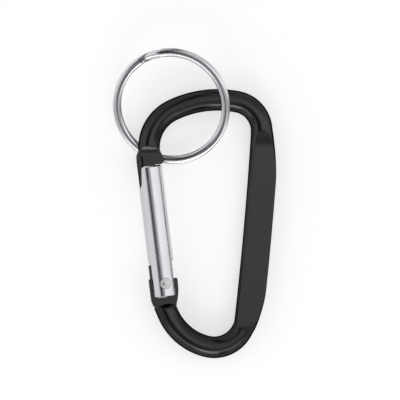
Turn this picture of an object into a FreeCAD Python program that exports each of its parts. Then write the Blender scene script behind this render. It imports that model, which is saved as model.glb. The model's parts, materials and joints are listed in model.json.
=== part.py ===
import FreeCAD, Part
import math
import os

# A keyring carabiner: a bar bent to a D, a sprung tube gate on a rivet, and a split ring.
#
# It lies on a table. +X runs from the gate to the spine, +Y from the hinge end to the wide top
# bow, and +Z up. Lengths are millimetres, angles degrees. Every piece is drawn about the axis of
# the gate's rivet, at the middle of the bar's thickness, and is then laid on the table.

# At rest the bar leans on the ring: it touches the table at its bottom bow, its top corner and
# the ring's low side. The part's origin is the bottom centre of the whole object's box.
REST_LEAN = 3.87
REST_LEAN_AXIS = 84.2
RIVET_PLACE = FreeCAD.Vector(-7.697, -20.686, 4.265)

# Body: centreline from the hinge tab round the bottom bow, the spine and the top bow to the nose
BAR_RADIUS = 2.83
HINGE_END = FreeCAD.Vector(0.78, -7.87, 0)
HINGE_HEADING = -67.0
HINGE_RUN = (14.9, 52.9)
BOTTOM_CORNER = (8.17, 97.6)
SPINE = (936.7, 2.98)
TOP_CORNER = (7.8, 82.4)
TOP_BOW = (27.0, 37.4)
NOSE_BEND = (10.66, 65.3)
BENDS = (HINGE_RUN, BOTTOM_CORNER, SPINE, TOP_CORNER, TOP_BOW, NOSE_BEND)

# Spine: pressed between flat dies, so that the bar spreads outwards and gets a flat on each face.
# A ramp is the radius in which a die's end lifts off the flat, and the slope that it then keeps.
SPINE_HALF_THICKNESS = 1.95
SPINE_SPREAD = 1.76
SPREAD_START_TURN = 80.0
SPREAD_END_TURN = 8.5
LOWER_SPREAD_LENGTH = 11.0
UPPER_SPREAD_LENGTH = 14.5
SPREAD_STEPS = 5
FLAT_LOW_Y = -9.3
FLAT_HIGH_Y = 35.4
LOWER_RAMP = (5.9, 31.7)
UPPER_RAMP = (11.4, 22.6)
SECTION_CORNER_UP = 2.05
PRESSED_INNER_CORNER = -1.18
PRESSED_OUTER_INSET = 0.33
SPINE_DIES_ACROSS = (15.0, 32.0)

# Gate: its axis leans out at the nose end, and the rivet lies a little inwards of it
GATE_LEAN = 7.0
GATE_AXIS_ACROSS = -0.4
GATE_RADIUS = 3.25
GATE_BORE_RADIUS = 2.5
GATE_LOW = -3.65
GATE_HIGH = 30.75
GATE_END_CHAMFER = 0.4
SPRING_BORE_END = 17.0
NOSE_BORE_END = 24.4
TONGUE_SLOT_MOUTH = 5.2
TONGUE_SLOT_RADIUS = 2.1
TONGUE_SLOT_END = 24.8
TAB_SLOT_WIDTH = 3.34
TAB_SLOT_END = 5.5
GATE_OPENING = 28.0

# Nose: pressed flat, with a shoulder over the gate's end and a blade that the gate closes on
NOSE_HALF_THICKNESS = 1.8
NOSE_STUB = 2.0
NOSE_FLAT_Y = 33.8
NOSE_RAMP = (2.4, 55.0)
NOSE_DIES_ACROSS = (-9.0, 3.0)
NOSE_TOP_Y = 36.2
NOSE_SIDE_ACROSS = -3.5
SHOULDER_RADIUS = 30.93
BLADE_END = 25.3
BLADE_STOP_ACROSS = 1.1

# Hinge tab: pressed flat, with an ear each side of the gate and a cam for the push pin. A narrow
# finger of the outer ear runs up in the gate's slot.
TAB_HALF_THICKNESS = 1.56
TAB_STUB = 2.6
TAB_FLAT_Y = -5.15
TAB_RAMP = (0.4, 46.0)
TAB_DIES_ACROSS = (-6.0, 6.0)
FINGER_ACROSS = (-3.68, -2.95)
FINGER_TOP = 5.0
END_DIE_LENGTH = 8.0
CAM_HEIGHT = 2.0
CAM_BASE_RADIUS = 1.0
CAM_POINTS = 6

# Rivet
RIVET_RADIUS = 0.9
RIVET_HOLE_RADIUS = 0.95
RIVET_HEAD_RADIUS = 1.38
RIVET_HEAD_RISE = 0.3
RIVET_HEAD_EDGE = 0.12
RIVET_DIMPLE_RADIUS = 0.34
RIVET_DIMPLE_RAISE = 0.16
RIVET_SHANK_INSET = 0.05

# Push pin and return spring
PIN_RADIUS = 2.35
PIN_LENGTH = 5.8
STEM_RADIUS = 0.8
STEM_LENGTH = 3.6
SPRING_WIRE_RADIUS = 0.27
SPRING_MEAN_RADIUS = 1.75
SPRING_COILS = 7.5
SEAT_GAP = 0.02

# Split ring: two turns of flattened wire, tilted to pass over the top bow and under the nose
RING_CENTRE = FreeCAD.Vector(1.6, 45.95, 0.55)
RING_TILT = 18.2
RING_RAISED_SIDE = 48.0
RING_MIDDLE_RADIUS = 14.28
WIRE_HALF_WIDTH = 1.04
WIRE_HALF_HEIGHT = 0.47
TURN_PITCH = 0.97
JOG_START = 100.0
JOG_END = 124.0
JOG_STEPS = 6

# Shared: how far cutters reach above and below the bar's middle plane, and the upright axis
TOP = 3.4
Z_AXIS = FreeCAD.Vector(0, 0, 1)


def point(x, y=0.0, z=0.0):
    return FreeCAD.Vector(x, y, z)


def direction(degrees):
    return point(math.cos(math.radians(degrees)), math.sin(math.radians(degrees)))


def mix(a, b, share):
    return a + (b - a) * share


def arc(start, middle, end):
    return Part.Arc(start, middle, end).toShape()


def line(start, end):
    return Part.LineSegment(start, end).toShape()


def slab(edges, half_thickness):
    """The plate that a closed outline in the XY plane makes, evenly about the middle plane."""
    face = Part.Face(Part.Wire(edges))
    face.translate(point(0, 0, -half_thickness))
    return face.extrude(point(0, 0, 2 * half_thickness))


def box(low, high):
    size = high - low
    return Part.makeBox(size.x, size.y, size.z, low)


def one_solid(shape):
    """The single solid that a joined or cut shape consists of."""
    clean = shape.removeSplitter()
    if len(clean.Solids) != 1:
        raise ValueError("expected one solid, found %d" % len(clean.Solids))
    return clean.Solids[0]


# ---- Body ----

def bend_start(number):
    """Point and heading of the centreline where that bend begins."""
    place = HINGE_END
    heading = HINGE_HEADING
    for radius, turn in BENDS[:number]:
        centre = place + direction(heading + 90) * radius
        heading += turn
        place = centre + direction(heading - 90) * radius
    return place, heading


def station(number, turned):
    """Point and heading of the centreline after turning that many degrees into a bend."""
    place, heading = bend_start(number)
    radius = BENDS[number][0]
    centre = place + direction(heading + 90) * radius
    return centre + direction(heading + turned - 90) * radius, heading + turned


def round_section(place, heading):
    circle = Part.makeCircle(BAR_RADIUS, place, direction(heading))
    return Part.Face(Part.Wire([circle]))


def swept(face, number, turn):
    """The solid that a section makes as it turns about the centre of that bend."""
    place, heading = bend_start(number)
    centre = place + direction(heading + 90) * BENDS[number][0]
    return face.revolve(centre, Z_AXIS, turn)


def spine_section(place, heading, press):
    """Outline of the spine before its flats are cut; press is 0 at the round bar and 1 when full."""
    outwards = direction(heading - 90)

    def at(across, up):
        return place + outwards * across + point(0, 0, up)

    round_corner = math.sqrt(BAR_RADIUS ** 2 - SECTION_CORNER_UP ** 2)
    inner = mix(-round_corner, PRESSED_INNER_CORNER, press)
    side = BAR_RADIUS + SPINE_SPREAD * press
    outer = mix(round_corner, BAR_RADIUS + SPINE_SPREAD - PRESSED_OUTER_INSET, press)
    middle = (inner + outer) / 2
    up = SECTION_CORNER_UP
    return Part.Wire([
        arc(at(inner, -up), at(-BAR_RADIUS, 0), at(inner, up)),
        arc(at(inner, up), at(middle, BAR_RADIUS), at(outer, up)),
        arc(at(outer, up), at(side, 0), at(outer, -up)),
        arc(at(outer, -up), at(middle, -BAR_RADIUS), at(inner, -up)),
    ])


def spread_stretch(stations):
    """The spine's outline growing from the round bar to its full width through the stations."""
    steps = len(stations) - 1
    sections = []
    for i, (place, heading) in enumerate(stations):
        press = math.sin(math.radians(90) * i / steps)
        sections.append(spine_section(place, heading, press))
    return Part.makeLoft(sections, True, False)


def along(first, length, back):
    """Evenly spaced stations from one on a corner to one on the spine, that length away."""
    corner, turned = first
    spine_turn = math.degrees(1 / SPINE[0])
    corner_radius, corner_turn = BENDS[corner]
    on_corner = math.radians(turned if back else corner_turn - turned) * corner_radius
    stations = []
    for i in range(SPREAD_STEPS + 1):
        gone = length * i / SPREAD_STEPS
        on_spine = (gone - on_corner) * spine_turn
        if gone < on_corner:
            step = math.degrees(gone / corner_radius)
            stations.append(station(corner, turned - step if back else turned + step))
        else:
            stations.append(station(2, SPINE[1] - on_spine if back else on_spine))
    return stations


def die_ramp(x, start, side, ramp, half_thickness):
    """Edges of a die's end: an arc that lifts off the flat, and a slope that passes the bar's top."""
    radius, slope = ramp
    rise = math.radians(slope)

    def on_arc(angle):
        y = start + side * radius * math.sin(angle)
        return point(x, y, half_thickness + radius * (1 - math.cos(angle)))

    end = on_arc(rise)
    above = (TOP - end.z) / math.tan(rise)
    return [arc(on_arc(0), on_arc(rise / 2), end), line(end, point(x, end.y + side * above, TOP))]


def flats_cutter(x_span, flat_span, ramps, half_thickness):
    """What a pair of dies takes off: all outside a slab, with a curved ramp at each end in Y."""
    x, x_end = x_span
    low, high = flat_span
    lower = die_ramp(x, low, -1, ramps[0], half_thickness)
    upper = die_ramp(x, high, 1, ramps[1], half_thickness)
    flat = line(point(x, low, half_thickness), point(x, high, half_thickness))
    top = line(lower[1].Vertexes[-1].Point, upper[1].Vertexes[-1].Point)
    face = Part.Face(Part.Wire(Part.__sortEdges__(lower + [flat] + upper + [top])))
    above = face.extrude(point(x_end - x))
    below = above.mirror(point(0, 0), Z_AXIS)
    return [above, below]


def bar_and_spine():
    """The bent bar from the hinge tab to the nose, with its spine pressed flat."""
    lower = along((1, SPREAD_START_TURN), LOWER_SPREAD_LENGTH, False)
    upper = along((3, SPREAD_END_TURN), UPPER_SPREAD_LENGTH, True)
    full_from = lower[-1]
    full_to = upper[-1]
    full_section = Part.Face(spine_section(full_from[0], full_from[1], 1.0))
    pieces = [
        swept(round_section(*bend_start(0)), 0, HINGE_RUN[1]),
        swept(round_section(*bend_start(1)), 1, SPREAD_START_TURN),
        spread_stretch(lower),
        swept(full_section, 2, full_to[1] - full_from[1]),
        spread_stretch(upper),
        swept(round_section(*upper[0]), 3, TOP_CORNER[1] - SPREAD_END_TURN),
        swept(round_section(*bend_start(4)), 4, TOP_BOW[1]),
        swept(round_section(*bend_start(5)), 5, NOSE_BEND[1]),
    ]
    bar = pieces[0].fuse(pieces[1:])
    flats = flats_cutter(SPINE_DIES_ACROSS, (FLAT_LOW_Y, FLAT_HIGH_Y), (LOWER_RAMP, UPPER_RAMP),
                         SPINE_HALF_THICKNESS)
    return bar.cut(flats)


def stub(place, heading, length):
    """Straight continuation of the round bar into a pressed end."""
    return round_section(place, heading).extrude(direction(heading) * length)


def leaned(shape):
    """A shape drawn about the rivet with +Y along the gate, turned to the gate's lean."""
    turned = shape.copy()
    turned.rotate(point(0, 0), Z_AXIS, GATE_LEAN)
    return turned


def on_radius(radius, across):
    return point(across, math.sqrt(radius ** 2 - across ** 2))


def side_envelope():
    """A long plate as thick as the nose, half round along the nose's outer side."""
    half = NOSE_HALF_THICKNESS
    side = NOSE_SIDE_ACROSS
    far = NOSE_TOP_Y - side
    outline = Part.Wire([
        line(point(far, 0, half), point(side + half, 0, half)),
        arc(point(side + half, 0, half), point(side, 0, 0), point(side + half, 0, -half)),
        line(point(side + half, 0, -half), point(far, 0, -half)),
        line(point(far, 0, -half), point(far, 0, half)),
    ])
    return Part.Face(outline).extrude(point(0, NOSE_TOP_Y + 1))


def end_envelope():
    """A wide plate as thick as the nose, half round at the blade's end."""
    half = NOSE_HALF_THICKNESS
    x = NOSE_SIDE_ACROSS - 1
    start = BLADE_END + half
    far = NOSE_TOP_Y + 1
    outline = Part.Wire([
        line(point(x, far, half), point(x, start, half)),
        arc(point(x, start, half), point(x, BLADE_END, 0), point(x, start, -half)),
        line(point(x, start, -half), point(x, far, -half)),
        line(point(x, far, -half), point(x, far, half)),
    ])
    return Part.Face(outline).extrude(point(NOSE_TOP_Y))


def nose_plate():
    """The flat nose: its neck, flared shoulder, and the blade that goes into the gate's slot."""
    top_left = point(-2.0, NOSE_TOP_Y)
    left = point(-3.36, 33.7)
    side = point(NOSE_SIDE_ACROSS, 32.0)
    side_end = point(NOSE_SIDE_ACROSS, BLADE_END - 1)
    stop_end = point(BLADE_STOP_ACROSS, BLADE_END - 1)
    stop_top = on_radius(SHOULDER_RADIUS, BLADE_STOP_ACROSS)
    shoulder = on_radius(SHOULDER_RADIUS, 2.75)
    corner_low = point(3.62, 31.62)
    corner_high = point(3.68, 32.05)
    neck = point(2.6, 35.0)
    top_right = point(2.0, NOSE_TOP_Y)
    edges = [
        line(top_left, left),
        line(left, side),
        line(side, side_end),
        line(side_end, stop_end),
        line(stop_end, stop_top),
        arc(stop_top, on_radius(SHOULDER_RADIUS, 2.0), shoulder),
        line(shoulder, corner_low),
        arc(corner_low, point(3.74, 31.84), corner_high),
        line(corner_high, neck),
        line(neck, top_right),
        line(top_right, top_left),
    ]
    plate = slab(edges, NOSE_HALF_THICKNESS)
    return leaned(plate.common(side_envelope()).common(end_envelope()))


def cam_point(turn):
    """Point of the cam that the push pin's flat face touches with the gate opened that far."""
    a = math.radians(turn)
    lift = CAM_HEIGHT + CAM_BASE_RADIUS * a
    x = CAM_BASE_RADIUS * math.cos(a) + lift * math.sin(a)
    y = -CAM_BASE_RADIUS * math.sin(a) + lift * math.cos(a)
    return point(x, y)


def hinge_tab():
    """The flat tab with its ears and finger, the involute cam between them, and the rivet's hole."""
    cam = [cam_point(GATE_OPENING * i / CAM_POINTS) for i in range(CAM_POINTS + 1)]
    cam_curve = Part.BSplineCurve()
    cam_curve.interpolate(cam)
    base_left = point(-2.1, -7.7)
    heel_left = point(-3.7, -5.6)
    side_low = point(-4.1, -3.7)
    side_high = point(-4.1, 0.93)
    finger_side, finger_inner = FINGER_ACROSS
    ear_left = point(finger_side, 1.46)
    finger_tip = point(finger_side, FINGER_TOP)
    finger_tip_inner = point(finger_inner, FINGER_TOP)
    finger_foot = point(finger_inner, 1.46)
    cam_foot = point(-2.5, 1.46)
    cam_left = point(-2.0, CAM_HEIGHT)
    cam_drop = point(2.25, 1.0)
    ear_right = point(3.0, 1.04)
    ear_right_side = point(3.3, 0.73)
    side_middle = point(3.22, -1.8)
    neck = point(2.3, -5.6)
    base_right = point(2.1, -7.2)
    edges = [
        line(base_left, heel_left),
        arc(heel_left, point(-4.0, -4.68), side_low),
        line(side_low, side_high),
        arc(side_high, point(-3.98, 1.32), ear_left),
        line(ear_left, finger_tip),
        line(finger_tip, finger_tip_inner),
        line(finger_tip_inner, finger_foot),
        line(finger_foot, cam_foot),
        line(cam_foot, cam_left),
        line(cam_left, cam[0]),
        cam_curve.toShape(),
        line(cam[-1], cam_drop),
        line(cam_drop, ear_right),
        arc(ear_right, point(3.21, 0.94), ear_right_side),
        line(ear_right_side, side_middle),
        arc(side_middle, point(2.9, -3.75), neck),
        line(neck, base_right),
        line(base_right, base_left),
    ]
    hole = Part.makeCylinder(RIVET_HOLE_RADIUS, 2 * TOP, point(0, 0, -TOP))
    return leaned(slab(edges, TAB_HALF_THICKNESS)), hole


def body():
    """The whole bar: one solid from the hinge tab round to the nose blade."""
    nose_end, nose_heading = station(5, NOSE_BEND[1])
    tab_stub = stub(HINGE_END, HINGE_HEADING + 180, TAB_STUB)
    nose_stub = stub(nose_end, nose_heading, NOSE_STUB)
    tab_span = (TAB_FLAT_Y, TAB_FLAT_Y + END_DIE_LENGTH)
    nose_span = (NOSE_FLAT_Y - END_DIE_LENGTH, NOSE_FLAT_Y)
    tab_cut = flats_cutter(TAB_DIES_ACROSS, tab_span, (TAB_RAMP, TAB_RAMP), TAB_HALF_THICKNESS)
    nose_cut = flats_cutter(NOSE_DIES_ACROSS, nose_span, (NOSE_RAMP, NOSE_RAMP), NOSE_HALF_THICKNESS)
    bar = bar_and_spine().fuse([tab_stub, nose_stub]).cut(tab_cut + nose_cut)
    tab, hole = hinge_tab()
    return one_solid(bar.fuse([tab, nose_plate()]).cut(hole))


# ---- Gate ----

def gate_cylinder(radius, low, high):
    """A cylinder on the gate's own axis, before the lean."""
    return Part.makeCylinder(radius, high - low, point(GATE_AXIS_ACROSS, low), point(0, 1))


def tongue_slot():
    """What is milled out of the gate's outer side for the blade: tapered, with a round end."""
    x = GATE_AXIS_ACROSS - GATE_RADIUS - 1
    mouth = TONGUE_SLOT_MOUTH / 2
    radius = TONGUE_SLOT_RADIUS
    middle = TONGUE_SLOT_END + radius
    outline = Part.Wire([
        arc(point(x, middle, radius), point(x, TONGUE_SLOT_END, 0), point(x, middle, -radius)),
        line(point(x, middle, -radius), point(x, GATE_HIGH + 1, -mouth)),
        line(point(x, GATE_HIGH + 1, -mouth), point(x, GATE_HIGH + 1, mouth)),
        line(point(x, GATE_HIGH + 1, mouth), point(x, middle, radius)),
    ])
    return Part.Face(outline).extrude(point(GATE_RADIUS, 0))


def gate_tube():
    """The gate: bored from both ends, with one slot for the blade and two for the hinge tab."""
    tube = gate_cylinder(GATE_RADIUS, GATE_LOW, GATE_HIGH)
    rims = [e for e in tube.Edges if isinstance(e.Curve, Part.Circle)]
    tube = tube.makeChamfer(GATE_END_CHAMFER, rims)
    tab_half = TAB_SLOT_WIDTH / 2
    reach = GATE_RADIUS + 1
    tab_low = point(GATE_AXIS_ACROSS - reach, GATE_LOW - 1, -tab_half)
    tab_high = point(GATE_AXIS_ACROSS + reach, TAB_SLOT_END, tab_half)
    cuts = [
        gate_cylinder(GATE_BORE_RADIUS, GATE_LOW - 1, SPRING_BORE_END),
        gate_cylinder(GATE_BORE_RADIUS, NOSE_BORE_END, GATE_HIGH + 1),
        tongue_slot(),
        box(tab_low, tab_high),
        Part.makeCylinder(RIVET_RADIUS, 4 * TOP, point(0, 0, -2 * TOP)),
    ]
    return leaned(one_solid(tube.cut(cuts)))


def rivet_head():
    """A low head on the gate's round outside: an upright edge, a flat dome and a small dimple."""
    face_up = math.sqrt(GATE_RADIUS ** 2 - GATE_AXIS_ACROSS ** 2)
    dome_rise = RIVET_HEAD_RISE - RIVET_HEAD_EDGE
    dome_radius = (RIVET_HEAD_RADIUS ** 2 + dome_rise ** 2) / (2 * dome_rise)
    dome_centre = point(0, 0, face_up + RIVET_HEAD_RISE - dome_radius)
    plug = Part.makeCylinder(RIVET_HEAD_RADIUS, 2, point(0, 0, face_up - 1))
    dimple_up = face_up + RIVET_HEAD_RISE + RIVET_DIMPLE_RAISE
    dimple = Part.makeSphere(RIVET_DIMPLE_RADIUS, point(0, 0, dimple_up))
    head = plug.common(Part.makeSphere(dome_radius, dome_centre))
    return head.cut([gate_cylinder(GATE_RADIUS, GATE_LOW, GATE_HIGH), dimple])


def gate_rivet():
    """The gate's hinge pin, headed on both faces of the gate."""
    half_length = GATE_RADIUS - RIVET_SHANK_INSET
    shank = Part.makeCylinder(RIVET_RADIUS, 2 * half_length, point(0, 0, -half_length))
    front = rivet_head()
    back = front.mirror(point(0, 0), Z_AXIS)
    return leaned(one_solid(shank.fuse([front, back])))


def push_pin():
    """The plunger whose flat end rides on the cam, with a stem inside the spring."""
    low = CAM_HEIGHT + SEAT_GAP
    shoulder = low + PIN_LENGTH
    head = gate_cylinder(PIN_RADIUS, low, shoulder)
    stem = gate_cylinder(STEM_RADIUS, shoulder, shoulder + STEM_LENGTH)
    return leaned(one_solid(head.fuse(stem)))


def return_spring():
    """The compression spring between the plunger's shoulder and the end of the gate's bore."""
    low = CAM_HEIGHT + PIN_LENGTH + 2 * SEAT_GAP + SPRING_WIRE_RADIUS
    high = SPRING_BORE_END - SEAT_GAP - SPRING_WIRE_RADIUS
    pitch = (high - low) / SPRING_COILS
    helix = Part.makeHelix(pitch, high - low, SPRING_MEAN_RADIUS)
    slope = point(0, 2 * math.pi * SPRING_MEAN_RADIUS, pitch)
    section = Part.makeCircle(SPRING_WIRE_RADIUS, point(SPRING_MEAN_RADIUS, 0), slope)
    coil = Part.Wire(helix.Edges).makePipeShell([Part.Wire([section])], True, True)
    coil.rotate(point(0, 0), point(1, 0), -90)
    coil.translate(point(GATE_AXIS_ACROSS, low))
    return leaned(coil.Solids[0])


# ---- Split ring ----

def wire_section(angle, layer):
    """Oval outline of the flattened wire at that angle round the ring, layer pitches up."""
    out = direction(angle)
    centre = out * RING_MIDDLE_RADIUS + point(0, 0, layer * TURN_PITCH)
    side = centre + out * WIRE_HALF_WIDTH
    top = centre + point(0, 0, WIRE_HALF_HEIGHT)
    return Part.Wire([Part.Ellipse(side, top, centre).toShape()])


def jog():
    """The short stretch where the wire climbs from the lower turn to the upper one."""
    sections = []
    for i in range(JOG_STEPS + 1):
        share = i / JOG_STEPS
        climb = 0.5 - share * share * (3 - 2 * share)
        sections.append(wire_section(mix(JOG_START, JOG_END, share), climb))
    return Part.makeLoft(sections, True, False)


def split_ring():
    """Two turns of wire, one above the other, joined by the jog."""
    turn = 360 - (JOG_END - JOG_START)
    lower = Part.Face(wire_section(JOG_END, -0.5)).revolve(point(0, 0), Z_AXIS, turn)
    upper = Part.Face(wire_section(JOG_END, 0.5)).revolve(point(0, 0), Z_AXIS, turn)
    ring = one_solid(lower.fuse([upper, jog()]))
    ring.rotate(point(0, 0), direction(RING_RAISED_SIDE - 90), RING_TILT)
    ring.translate(RING_CENTRE)
    return ring


def laid_down(piece):
    """A piece drawn about the rivet, turned and moved to where it lies on the table."""
    piece.rotate(point(0, 0), direction(REST_LEAN_AXIS), REST_LEAN)
    piece.translate(RIVET_PLACE)
    return piece


PIECES = {
    "body": body,
    "gate_tube": gate_tube,
    "gate_rivet": gate_rivet,
    "push_pin": push_pin,
    "return_spring": return_spring,
    "split_ring": split_ring,
}

os.makedirs("parts", exist_ok=True)
for name, make in PIECES.items():
    piece = laid_down(make())
    piece.exportStep("parts/%s.step" % name)
    print(name, piece.isValid(), round(piece.Volume, 2), piece.optimalBoundingBox())
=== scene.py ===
import json
import math

import bpy
from mathutils import Matrix, Vector


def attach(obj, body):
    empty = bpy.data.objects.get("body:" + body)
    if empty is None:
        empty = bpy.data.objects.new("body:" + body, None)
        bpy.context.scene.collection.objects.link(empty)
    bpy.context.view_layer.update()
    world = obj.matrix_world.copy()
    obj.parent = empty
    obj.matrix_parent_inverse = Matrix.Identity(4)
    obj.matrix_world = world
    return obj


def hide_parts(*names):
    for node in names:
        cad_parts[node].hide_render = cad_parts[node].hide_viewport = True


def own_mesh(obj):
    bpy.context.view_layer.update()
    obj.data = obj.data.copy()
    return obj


# A carabiner keyring on a pale table: satin black bar, bright drawn gate, nickel-plated split ring.

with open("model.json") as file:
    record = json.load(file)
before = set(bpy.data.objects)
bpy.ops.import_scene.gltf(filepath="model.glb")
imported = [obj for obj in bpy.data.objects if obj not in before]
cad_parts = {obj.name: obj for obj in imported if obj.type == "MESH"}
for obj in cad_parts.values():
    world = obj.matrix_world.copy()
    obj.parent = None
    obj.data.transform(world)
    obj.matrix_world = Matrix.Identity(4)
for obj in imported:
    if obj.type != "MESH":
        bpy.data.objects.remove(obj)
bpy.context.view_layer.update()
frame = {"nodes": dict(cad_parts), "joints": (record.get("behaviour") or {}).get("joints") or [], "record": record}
nodes = frame["nodes"]
joints = {joint["name"]: joint for joint in frame["joints"]}
mounts = {mount["name"]: mount for mount in frame["record"]["mounts"]}

MM = 0.001

# The camera looks straight down, on a point a little right of and above the part's origin.
VIEW_CENTRE = Vector((1.42, 0.92, 4.3)) * MM
CAMERA_HEIGHT = 900 * MM
VIEW_WIDTH = 104 * MM
SENSOR_WIDTH = 36.0
NEAR_CLIP = 10 * MM

# The table is a square sheet with an even glow, to which TABLE_EXTRA_GLOW is added only in what the
# camera sees directly, and not in what the object reflects.
TABLE_HALF = 3.0
TABLE_COLOUR = (0.74, 0.74, 0.74)
TABLE_GLOW = 0.24
TABLE_EXTRA_GLOW = 0.34

# What the camera sees past the table, and how far the softboxes are from its middle
BACKDROP_COLOUR = (0.93, 0.93, 0.94)
LIGHT_DISTANCE = 1.1

# The room's brightness across the gate, in the middle and towards both ends, and along the gate.
# Each stop is a component of the direction (the sine of its angle from straight up) and a level.
ACROSS_MIDDLE = ((-1.0, 0.74), (-0.70, 0.74), (-0.62, 0.04), (-0.31, 0.03), (-0.24, 0.28),
                 (0.0, 0.45), (0.07, 0.60), (0.13, 0.96), (0.74, 0.96), (1.0, 0.80))
ACROSS_ENDS = ((-1.0, 0.80), (-0.64, 0.74), (-0.59, 0.10), (-0.47, 0.05), (-0.38, 0.48),
               (-0.24, 0.74), (0.0, 0.76), (0.40, 0.56), (1.0, 0.38))
LENGTHWISE = ((-1.0, 0.35), (-0.90, 0.75), (-0.60, 0.85), (-0.50, 0.58), (-0.30, 0.50),
              (-0.15, 0.92), (0.0, 1.0), (0.30, 0.95), (0.57, 0.72), (0.78, 0.60), (1.0, 0.50))

# The room is turned by the gate's lean, so that across and along are the gate's own. Towards both
# ends, the stops across the gate move right by GAP_BEND times the lengthwise component, and the
# middle's stops give way to the ends' where that component is within ENDS_BEGIN.
GATE_LEAN = math.radians(7)
GAP_BEND = 0.65
ENDS_BEGIN = (0.12, 0.36)

# Painted shade round the rivet's heads, in the dimple of its head and between the ring's two turns:
# each pair is where it is darkest and where it has faded out.
RIVET_EDGE_SHADE = (1.42 * MM, 1.56 * MM)
RIVET_DIMPLE_SHADE_PLACE = (-0.5 * MM, 0)
RIVET_DIMPLE_SHADE = (0.2 * MM, 0.45 * MM)
RING_TURNS_SHADE = (0.06 * MM, 0.20 * MM)

# Edges sharper than EDGE_ANGLE are broken by EDGE_WIDTH, once points within WELD_REACH are joined.
EDGE_WIDTH = 0.12 * MM
EDGE_ANGLE = math.radians(28)
WELD_REACH = 0.002 * MM


# ---- Node trees ----

class Graph:
    """A node tree, with short calls for the nodes that the room, table and finishes share.

    A value is another node's output, a number, a vector or a colour of three levels.
    """

    def __init__(self, tree):
        self.tree = tree

    def node(self, kind, **settings):
        made = self.tree.nodes.new("ShaderNode" + kind)
        for name, value in settings.items():
            setattr(made, name, value)
        return made

    def feed(self, socket, value):
        if isinstance(value, bpy.types.NodeSocket):
            self.tree.links.new(value, socket)
        elif socket.type == "RGBA":
            socket.default_value = (*value, 1)
        else:
            socket.default_value = value

    def math(self, operation, *values):
        worked = self.node("Math", operation=operation)
        for socket, value in zip(worked.inputs, values):
            self.feed(socket, value)
        return worked.outputs["Value"]

    def vector_math(self, operation, *values):
        worked = self.node("VectorMath", operation=operation)
        for socket, value in zip(worked.inputs, values):
            self.feed(socket, value)
        return worked

    def split(self, vector):
        parts = self.node("SeparateXYZ")
        self.feed(parts.inputs["Vector"], vector)
        return parts.outputs

    def between(self, value, low, high, start=0.3, end=0.7, curve="LINEAR"):
        """low where value is at start, high where it is at end, and clamped past them."""
        spread = self.node("MapRange", interpolation_type=curve)
        self.feed(spread.inputs["Value"], value)
        for name, number in (("From Min", start), ("From Max", end), ("To Min", low), ("To Max", high)):
            self.feed(spread.inputs[name], number)
        return spread.outputs["Result"]

    def mix(self, share, first, second, blend="MIX"):
        """The first colour where share is 0 and the second, or another blend of the two, where it is 1."""
        mixed = self.node("Mix", data_type="RGBA", blend_type=blend)
        for name, value in (("Factor", share), ("A", first), ("B", second)):
            self.feed(mixed.inputs[name], value)
        return mixed.outputs["Result"]

    def noise(self, vector, scale, detail):
        """Noise between about 0 and 1, with about scale patches to each unit of the vector."""
        pattern = self.node("TexNoise")
        for name, value in (("Vector", vector), ("Scale", scale), ("Detail", detail)):
            self.feed(pattern.inputs[name], value)
        return pattern.outputs["Fac"]


# ---- Camera and light ----

def camera():
    data = bpy.data.cameras.new("camera")
    data.sensor_width = SENSOR_WIDTH
    data.lens = SENSOR_WIDTH * CAMERA_HEIGHT / VIEW_WIDTH
    data.clip_start = NEAR_CLIP
    eye = bpy.data.objects.new("camera", data)
    eye.location = VIEW_CENTRE + Vector((0, 0, CAMERA_HEIGHT))
    bpy.context.scene.collection.objects.link(eye)
    bpy.context.scene.camera = eye


def softbox(name, compass, tilt, across, tall, radiance):
    """A rectangular light, tilt degrees from straight up, at compass degrees round from +X to +Y.

    It looks across degrees wide and tall degrees high from the table, and equally bright all over.
    """
    away = Vector((
        math.sin(math.radians(tilt)) * math.cos(math.radians(compass)),
        math.sin(math.radians(tilt)) * math.sin(math.radians(compass)),
        math.cos(math.radians(tilt)),
    ))
    data = bpy.data.lights.new(name, "AREA")
    data.shape = "RECTANGLE"
    data.size = 2 * LIGHT_DISTANCE * math.tan(math.radians(across / 2))
    data.size_y = 2 * LIGHT_DISTANCE * math.tan(math.radians(tall / 2))
    data.energy = radiance * math.pi * data.size * data.size_y
    lamp = bpy.data.objects.new(name, data)
    lamp.location = away * LIGHT_DISTANCE
    lamp.rotation_mode = "QUATERNION"
    lamp.rotation_quaternion = (-away).to_track_quat("-Z", "Y")
    lamp.visible_camera = False
    bpy.context.scene.collection.objects.link(lamp)


def profile(graph, value, stops):
    """A brightness that runs through those (value, brightness) stops as value goes from -1 to 1."""
    ramp = graph.node("ValToRGB")
    graph.feed(ramp.inputs["Fac"], graph.between(value, 0, 1, -1, 1))
    marks = ramp.color_ramp.elements
    while len(marks) < len(stops):
        marks.new(0.5)
    for mark, (place, level) in zip(marks, stops):
        mark.position = (place + 1) / 2
        mark.color = (level, level, level, 1)
    return ramp.outputs["Color"]


def room(graph):
    """The brightness of a pale room by direction, with a dark gap on the left.

    X is taken across the gate. The gap bends inwards towards both of its ends and is narrower there.
    """
    facing = graph.node("VectorRotate", rotation_type="Z_AXIS")
    graph.feed(facing.inputs["Vector"], graph.node("TexCoord").outputs["Generated"])
    graph.feed(facing.inputs["Angle"], -GATE_LEAN)
    direction = graph.split(facing.outputs["Vector"])
    sideways = graph.math("ABSOLUTE", direction["Y"])
    bent = graph.math("MULTIPLY_ADD", sideways, -GAP_BEND, direction["X"])
    towards_end = graph.between(sideways, 0, 1, *ENDS_BEGIN, curve="SMOOTHSTEP")
    middle = profile(graph, bent, ACROSS_MIDDLE)
    ends = profile(graph, bent, ACROSS_ENDS)
    along = profile(graph, direction["Y"], LENGTHWISE)
    return graph.mix(1, graph.mix(towards_end, middle, ends), along, "MULTIPLY")


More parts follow.
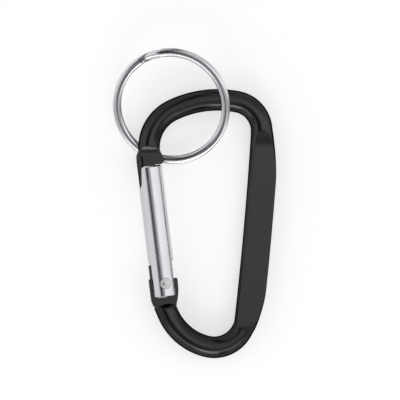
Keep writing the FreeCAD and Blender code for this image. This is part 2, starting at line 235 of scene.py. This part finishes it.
def studio():
    softbox("front_box", compass=270, tilt=60, across=22, tall=26, radiance=1.8)
    softbox("front_strip", compass=270, tilt=51, across=84, tall=8, radiance=1.3)
    world = bpy.data.worlds.new("studio")
    world.use_nodes = True
    graph = Graph(world.node_tree)
    walls = graph.tree.nodes["Background"]
    graph.feed(walls.inputs["Color"], room(graph))
    backdrop = graph.node("Background")
    graph.feed(backdrop.inputs["Color"], BACKDROP_COLOUR)
    seen = graph.node("LightPath").outputs["Is Camera Ray"]
    either = graph.node("MixShader")
    surfaces = (seen, walls.outputs["Background"], backdrop.outputs["Background"])
    for socket, value in zip(either.inputs, surfaces):
        graph.feed(socket, value)
    graph.feed(graph.tree.nodes["World Output"].inputs["Surface"], either.outputs["Shader"])
    bpy.context.scene.world = world
    bpy.context.scene.view_settings.view_transform = "Standard"


# ---- Materials ----

class Paint(Graph):
    """A material's node tree. Its constants are set on the shader's own sockets."""

    def __init__(self, name, **constants):
        self.material = bpy.data.materials.new(name)
        self.material.use_nodes = True
        super().__init__(self.material.node_tree)
        self.sockets = self.tree.nodes["Principled BSDF"].inputs
        for socket, value in constants.items():
            self.feed(self.sockets[socket.replace("_", " ")], value)

    def place(self, placement=None):
        """Object coordinates, or the same in a frame of the part's own such as the gate's."""
        coordinates = self.node("TexCoord").outputs["Object"]
        if placement is None:
            return coordinates
        turn = self.node("Mapping", vector_type="TEXTURE")
        self.feed(turn.inputs["Vector"], coordinates)
        self.feed(turn.inputs["Location"], placement.to_translation())
        self.feed(turn.inputs["Rotation"], placement.to_euler())
        return turn.outputs["Vector"]

    def stretched(self, vector, scale):
        return self.vector_math("MULTIPLY", vector, scale).outputs["Vector"]

    def reach(self, vector, centre=(0, 0)):
        """Distance in the XY plane from that centre."""
        away = self.vector_math("SUBTRACT", vector, (*centre, 0)).outputs["Vector"]
        return self.vector_math("LENGTH", self.stretched(away, (1, 1, 0))).outputs["Value"]

    def coat(self, colour, roughness):
        self.feed(self.sockets["Base Color"], colour)
        self.feed(self.sockets["Roughness"], roughness)
        return self.material

    def relief(self, height, depth):
        bump = self.node("Bump")
        self.feed(bump.inputs["Height"], height)
        self.feed(bump.inputs["Distance"], depth)
        self.feed(self.sockets["Normal"], bump.outputs["Normal"])


def own_frame(origin, across, along, up):
    """The placement of a frame with those axes and that origin."""
    turned = Matrix((across, along, up)).transposed().to_4x4()
    return Matrix.Translation(origin) @ turned


def gate_frame():
    """The frame of the gate's tube: its origin on the rivet, Y along the tube and Z up."""
    along = Vector(joints["push_pin_slide"]["axis"])
    up = -Vector(joints["gate_hinge"]["axis"])
    return own_frame(Vector(joints["gate_hinge"]["pos_m"]), along.cross(up), along, up)


def ring_frame():
    """The frame of the split ring: its origin at the ring's middle and Z along its axis."""
    up = Vector(mounts["key_loop"]["axis"])
    across = up.orthogonal().normalized()
    return own_frame(Vector(mounts["key_loop"]["pos_m"]), across, up.cross(across), up)


def satin_black():
    """Black anodised aluminium: a fine matt skin, slightly uneven in sheen."""
    paint = Paint("satin_black", Metallic=1.0, Specular_Tint=(0.1, 0.1, 0.1))
    here = paint.place()
    cloud = paint.noise(here, 160, 3)
    paint.relief(paint.noise(here, 7000, 2), 0.003 * MM)
    metal = paint.mix(cloud, (0.054, 0.054, 0.0565), (0.065, 0.065, 0.068))
    return paint.coat(metal, paint.between(cloud, 0.14, 0.19))


def drawn_aluminium():
    """Bright aluminium tube, faintly grained, with a dark line of painted shade round the rivet's heads."""
    paint = Paint("drawn_aluminium", Metallic=1.0)
    here = paint.place(gate_frame())
    # Painted shade: a dark ring round the rivet's heads, standing in for the shade at their edge.
    rivet_edge_shade = paint.between(paint.reach(here), 0.8, 0, *RIVET_EDGE_SHADE)
    lines = paint.noise(paint.stretched(here, (9000, 120, 9000)), 1, 3)
    cloud = paint.noise(here, 240, 2)
    paint.relief(paint.math("ADD", lines, paint.noise(here, 1800, 2)), 0.012 * MM)
    metal = paint.mix(lines, (0.80, 0.81, 0.845), (0.90, 0.91, 0.94))
    return paint.coat(paint.mix(rivet_edge_shade, metal, (0.16, 0.16, 0.17)),
                      paint.between(paint.math("ADD", lines, cloud), 0.12, 0.24, 0.7, 1.3))


def upset_aluminium():
    """The rivet: soft aluminium, frosted, with a spot of painted shade on one side of its head, where its dimple
    is.
    """
    paint = Paint("upset_aluminium", Metallic=0.55)
    here = paint.place(gate_frame())
    # Painted shade: a grey spot beside the head's middle, standing in for the shade in its dimple.
    mark = paint.between(paint.reach(here, RIVET_DIMPLE_SHADE_PLACE), 0.7, 0, *RIVET_DIMPLE_SHADE)
    frost = paint.noise(here, 5000, 3)
    smudge = paint.noise(here, 900, 2)
    paint.relief(frost, 0.004 * MM)
    metal = paint.mix(smudge, (0.93, 0.935, 0.955), (0.98, 0.98, 1.0))
    return paint.coat(paint.mix(mark, metal, (0.25, 0.25, 0.26)), paint.between(frost, 0.36, 0.46))


def nickel():
    """Bright nickel plate with faint lines along the wire, and painted shade where the two turns meet."""
    paint = Paint("nickel", Metallic=1.0)
    here = paint.place(ring_frame())
    height = paint.split(here)["Z"]
    section = paint.node("CombineXYZ")
    paint.feed(section.inputs["X"], paint.reach(here))
    paint.feed(section.inputs["Z"], height)
    lines = paint.noise(section.outputs["Vector"], 6500, 2)
    cloud = paint.noise(here, 700, 2)
    # Painted shade: a dark line in the ring's middle plane, standing in for the shade where the two turns meet.
    turns_shade = paint.between(paint.math("ABSOLUTE", height), 0.85, 0, *RING_TURNS_SHADE)
    paint.relief(lines, 0.006 * MM)
    metal = paint.mix(lines, (0.87, 0.875, 0.92), (0.96, 0.965, 1.0))
    return paint.coat(paint.mix(turns_shade, metal, (0.10, 0.10, 0.11)),
                      paint.between(paint.math("ADD", lines, cloud), 0.11, 0.18, 0.7, 1.3))


def spring_steel():
    """The return spring: plain drawn steel wire."""
    paint = Paint("spring_steel", Metallic=1.0)
    cloud = paint.noise(paint.place(), 2500, 2)
    metal = paint.mix(cloud, (0.42, 0.42, 0.43), (0.55, 0.55, 0.56))
    return paint.coat(metal, paint.between(cloud, 0.22, 0.36))


def turned_steel_darkened_as_shade():
    """The push pin: turned steel, darker than bare steel as painted shade for the inside of the gate."""
    paint = Paint("turned_steel_darkened_as_shade", Metallic=1.0)
    rings = paint.noise(paint.stretched(paint.place(gate_frame()), (300, 9000, 300)), 1, 2)
    paint.relief(rings, 0.004 * MM)
    # Painted shade: these levels are darker than bare steel, standing in for the shade inside the gate's tube.
    metal = paint.mix(rings, (0.20, 0.20, 0.205), (0.30, 0.30, 0.31))
    return paint.coat(metal, paint.between(rings, 0.22, 0.36))


FINISHES = {
    "body": satin_black,
    "gate_tube": drawn_aluminium,
    "gate_rivet": upset_aluminium,
    "push_pin": turned_steel_darkened_as_shade,
    "return_spring": spring_steel,
    "split_ring": nickel,
}


# ---- The table and the object ----

def table():
    """A pale sheet that glows a little, most of all towards the camera, so that shadows stay faint."""
    data = bpy.data.meshes.new("table")
    corners = [(x * TABLE_HALF, y * TABLE_HALF, 0) for x, y in ((-1, -1), (1, -1), (1, 1), (-1, 1))]
    data.from_pydata(corners, [], [(0, 1, 2, 3)])
    top = bpy.data.objects.new("table", data)
    bpy.context.scene.collection.objects.link(top)
    paper = Paint("paper", Base_Color=TABLE_COLOUR, Roughness=0.9, Specular_IOR_Level=0.1,
                  Emission_Color=(1, 1, 1))
    seen = paper.node("LightPath").outputs["Is Camera Ray"]
    glow = paper.math("MULTIPLY_ADD", seen, TABLE_EXTRA_GLOW, TABLE_GLOW)
    paper.feed(paper.sockets["Emission Strength"], glow)
    data.materials.append(paper.material)


def dress():
    """Gives every CAD node its finish."""
    for name, finish in FINISHES.items():
        node = nodes[name]
        node.data.materials.clear()
        node.data.materials.append(finish())


def soften(name):
    """Breaks a node's sharp edges, as tumbling does."""
    node = nodes[name]
    weld = node.modifiers.new("weld", "WELD")
    weld.merge_threshold = WELD_REACH
    bevel = node.modifiers.new("bevel", "BEVEL")
    bevel.width = EDGE_WIDTH
    bevel.segments = 2
    bevel.limit_method = "ANGLE"
    bevel.angle_limit = EDGE_ANGLE
    shade = node.modifiers.new("shade", "WEIGHTED_NORMAL")
    shade.keep_sharp = True


def working_spring():
    """A copy of the return spring, carried with the gate, in place of the CAD node, which is hidden."""
    coil = bpy.data.objects.new("return_coil", nodes["return_spring"].data.copy())
    bpy.context.scene.collection.objects.link(coil)
    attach(coil, "gate")
    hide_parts("return_spring")
    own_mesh(coil)


camera()
studio()
table()
dress()
soften("body")
working_spring()
